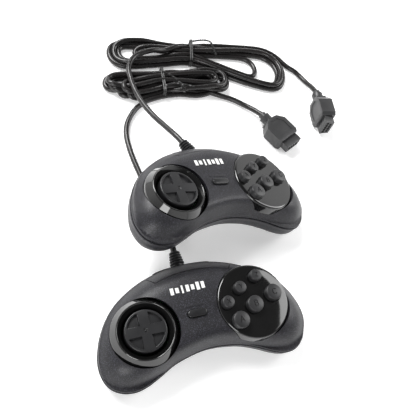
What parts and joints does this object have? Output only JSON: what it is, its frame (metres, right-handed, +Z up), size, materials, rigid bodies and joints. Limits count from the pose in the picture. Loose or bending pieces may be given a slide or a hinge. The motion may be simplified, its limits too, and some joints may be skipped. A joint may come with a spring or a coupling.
{
  "type": "wired game pad pair",
  "caption": "Pair of wired game pads with a rocking direction disc, face buttons, bundled leads and nine-way plugs, one pad lying tilted behind the other.",
  "frame": {"origin": "centre of the front pad's flat base, on the table", "axes": "+X to the front pad's right hand end, +Y to its rear where the lead leaves, +Z up from the table"},
  "size_m": [0.2225, 0.2789, 0.0579],
  "materials": {
    "shell": "satin, fine sparkle",
    "gloss_black": "high gloss",
    "keys": "satin",
    "start": "semi-gloss",
    "membrane": "matt",
    "print": "flat",
    "board": "satin",
    "board_parts": "matt",
    "boot": "satin",
    "cord": "gloss",
    "tie": "gloss",
    "plug": "satin",
    "contacts": "bright",
    "screw": "brushed"
  },
  "bodies": {
    "front_pad": {"b_top_shell": "shell", "b_bottom_shell": "shell", "b_rear_panel": "shell", "b_rear_insert": "gloss_black", "b_housing_screws": "screw", "b_dpad_bezel": "gloss_black", "b_dpad_mat": "membrane", "b_button_plate": "gloss_black", "b_button_mat": "membrane", "b_start_mat": "membrane", "b_front_mark": "print", "b_circuit_board": "board", "b_board_parts": "board_parts", "b_strain_relief": "boot", "b_lead": "cord", "b_hank": "cord", "b_tail": "cord", "b_tie": "tie", "b_plug_body": "plug", "b_plug_nose": "plug", "b_plug_contacts": "contacts"},
    "b_button_a": {"b_button_a": "keys"},
    "b_button_b": {"b_button_b": "keys"},
    "b_button_c": {"b_button_c": "keys"},
    "b_button_x": {"b_button_x": "keys"},
    "b_button_y": {"b_button_y": "keys"},
    "b_button_z": {"b_button_z": "keys"},
    "b_start_button": {"b_start_button": "start"},
    "b_dpad_pivot": {"b_dpad_pivot": "keys"},
    "b_dpad": {"b_dpad": "keys"},
    "rear_pad": {"a_top_shell": "shell", "a_bottom_shell": "shell", "a_rear_panel": "shell", "a_rear_insert": "gloss_black", "a_housing_screws": "screw", "a_dpad_bezel": "gloss_black", "a_dpad_mat": "membrane", "a_button_plate": "gloss_black", "a_button_mat": "membrane", "a_start_mat": "membrane", "a_front_mark": "print", "a_circuit_board": "board", "a_board_parts": "board_parts", "a_strain_relief": "boot", "a_lead": "cord", "a_hank": "cord", "a_tail": "cord", "a_tie": "tie", "a_plug_body": "plug", "a_plug_nose": "plug", "a_plug_contacts": "contacts"},
    "a_button_a": {"a_button_a": "keys"},
    "a_button_b": {"a_button_b": "keys"},
    "a_button_c": {"a_button_c": "keys"},
    "a_button_x": {"a_button_x": "keys"},
    "a_button_y": {"a_button_y": "keys"},
    "a_button_z": {"a_button_z": "keys"},
    "a_start_button": {"a_start_button": "start"},
    "a_dpad_pivot": {"a_dpad_pivot": "keys"},
    "a_dpad": {"a_dpad": "keys"}
  },
  "joints": [
    {"name": "b_button_a_press", "type": "slide", "parent": "front_pad", "child": "b_button_a", "axis": [-0.0993, 0, -0.9951], "range_m": [0, 0.0018], "stiffness_N_per_m": 400},
    {"name": "b_button_b_press", "type": "slide", "parent": "front_pad", "child": "b_button_b", "axis": [-0.0993, 0, -0.9951], "range_m": [0, 0.0018], "stiffness_N_per_m": 400},
    {"name": "b_button_c_press", "type": "slide", "parent": "front_pad", "child": "b_button_c", "axis": [-0.0993, 0, -0.9951], "range_m": [0, 0.0018], "stiffness_N_per_m": 400},
    {"name": "b_button_x_press", "type": "slide", "parent": "front_pad", "child": "b_button_x", "axis": [-0.0993, 0, -0.9951], "range_m": [0, 0.0018], "stiffness_N_per_m": 400},
    {"name": "b_button_y_press", "type": "slide", "parent": "front_pad", "child": "b_button_y", "axis": [-0.0993, 0, -0.9951], "range_m": [0, 0.0018], "stiffness_N_per_m": 400},
    {"name": "b_button_z_press", "type": "slide", "parent": "front_pad", "child": "b_button_z", "axis": [-0.0993, 0, -0.9951], "range_m": [0, 0.0018], "stiffness_N_per_m": 400},
    {"name": "b_start_press", "type": "slide", "parent": "front_pad", "child": "b_start_button", "axis": [0, 0, -1], "range_m": [0, 0.001], "stiffness_N_per_m": 500},
    {"name": "b_dpad_rock_x", "type": "hinge", "parent": "front_pad", "child": "b_dpad_pivot", "pos_m": [-0.037, -0.0016, 0.0169], "axis": [1, 0, 0], "range_deg": [-4, 4], "stiffness_Nm_per_rad": 0.2},
    {"name": "b_dpad_rock_y", "type": "hinge", "parent": "b_dpad_pivot", "child": "b_dpad", "pos_m": [-0.037, -0.0016, 0.0169], "axis": [0, 1, 0], "range_deg": [-4, 4], "stiffness_Nm_per_rad": 0.2},
    {"name": "a_button_a_press", "type": "slide", "parent": "rear_pad", "child": "a_button_a", "axis": [-0.3528, -0.0736, -0.9328], "range_m": [0, 0.0018], "stiffness_N_per_m": 400},
    {"name": "a_button_b_press", "type": "slide", "parent": "rear_pad", "child": "a_button_b", "axis": [-0.3528, -0.0736, -0.9328], "range_m": [0, 0.0018], "stiffness_N_per_m": 400},
    {"name": "a_button_c_press", "type": "slide", "parent": "rear_pad", "child": "a_button_c", "axis": [-0.3528, -0.0736, -0.9328], "range_m": [0, 0.0018], "stiffness_N_per_m": 400},
    {"name": "a_button_x_press", "type": "slide", "parent": "rear_pad", "child": "a_button_x", "axis": [-0.3528, -0.0736, -0.9328], "range_m": [0, 0.0018], "stiffness_N_per_m": 400},
    {"name": "a_button_y_press", "type": "slide", "parent": "rear_pad", "child": "a_button_y", "axis": [-0.3528, -0.0736, -0.9328], "range_m": [0, 0.0018], "stiffness_N_per_m": 400},
    {"name": "a_button_z_press", "type": "slide", "parent": "rear_pad", "child": "a_button_z", "axis": [-0.3528, -0.0736, -0.9328], "range_m": [0, 0.0018], "stiffness_N_per_m": 400},
    {"name": "a_start_press", "type": "slide", "parent": "rear_pad", "child": "a_start_button", "axis": [-0.2584, -0.0686, -0.9636], "range_m": [0, 0.001], "stiffness_N_per_m": 500},
    {"name": "a_dpad_rock_x", "type": "hinge", "parent": "rear_pad", "child": "a_dpad_pivot", "pos_m": [-0.00417, 0.07457, 0.04137], "axis": [0.9635, 0.0539, -0.2622], "range_deg": [-4, 4], "stiffness_Nm_per_rad": 0.2},
    {"name": "a_dpad_rock_y", "type": "hinge", "parent": "a_dpad_pivot", "child": "a_dpad", "pos_m": [-0.00417, 0.07457, 0.04137], "axis": [-0.0699, 0.9962, -0.0522], "range_deg": [-4, 4], "stiffness_Nm_per_rad": 0.2},
    {"name": "rear_pad_lift", "type": "slide", "parent": "front_pad", "child": "rear_pad", "axis": [0, 0, 1], "range_m": [0, 0.12]}
  ]
}
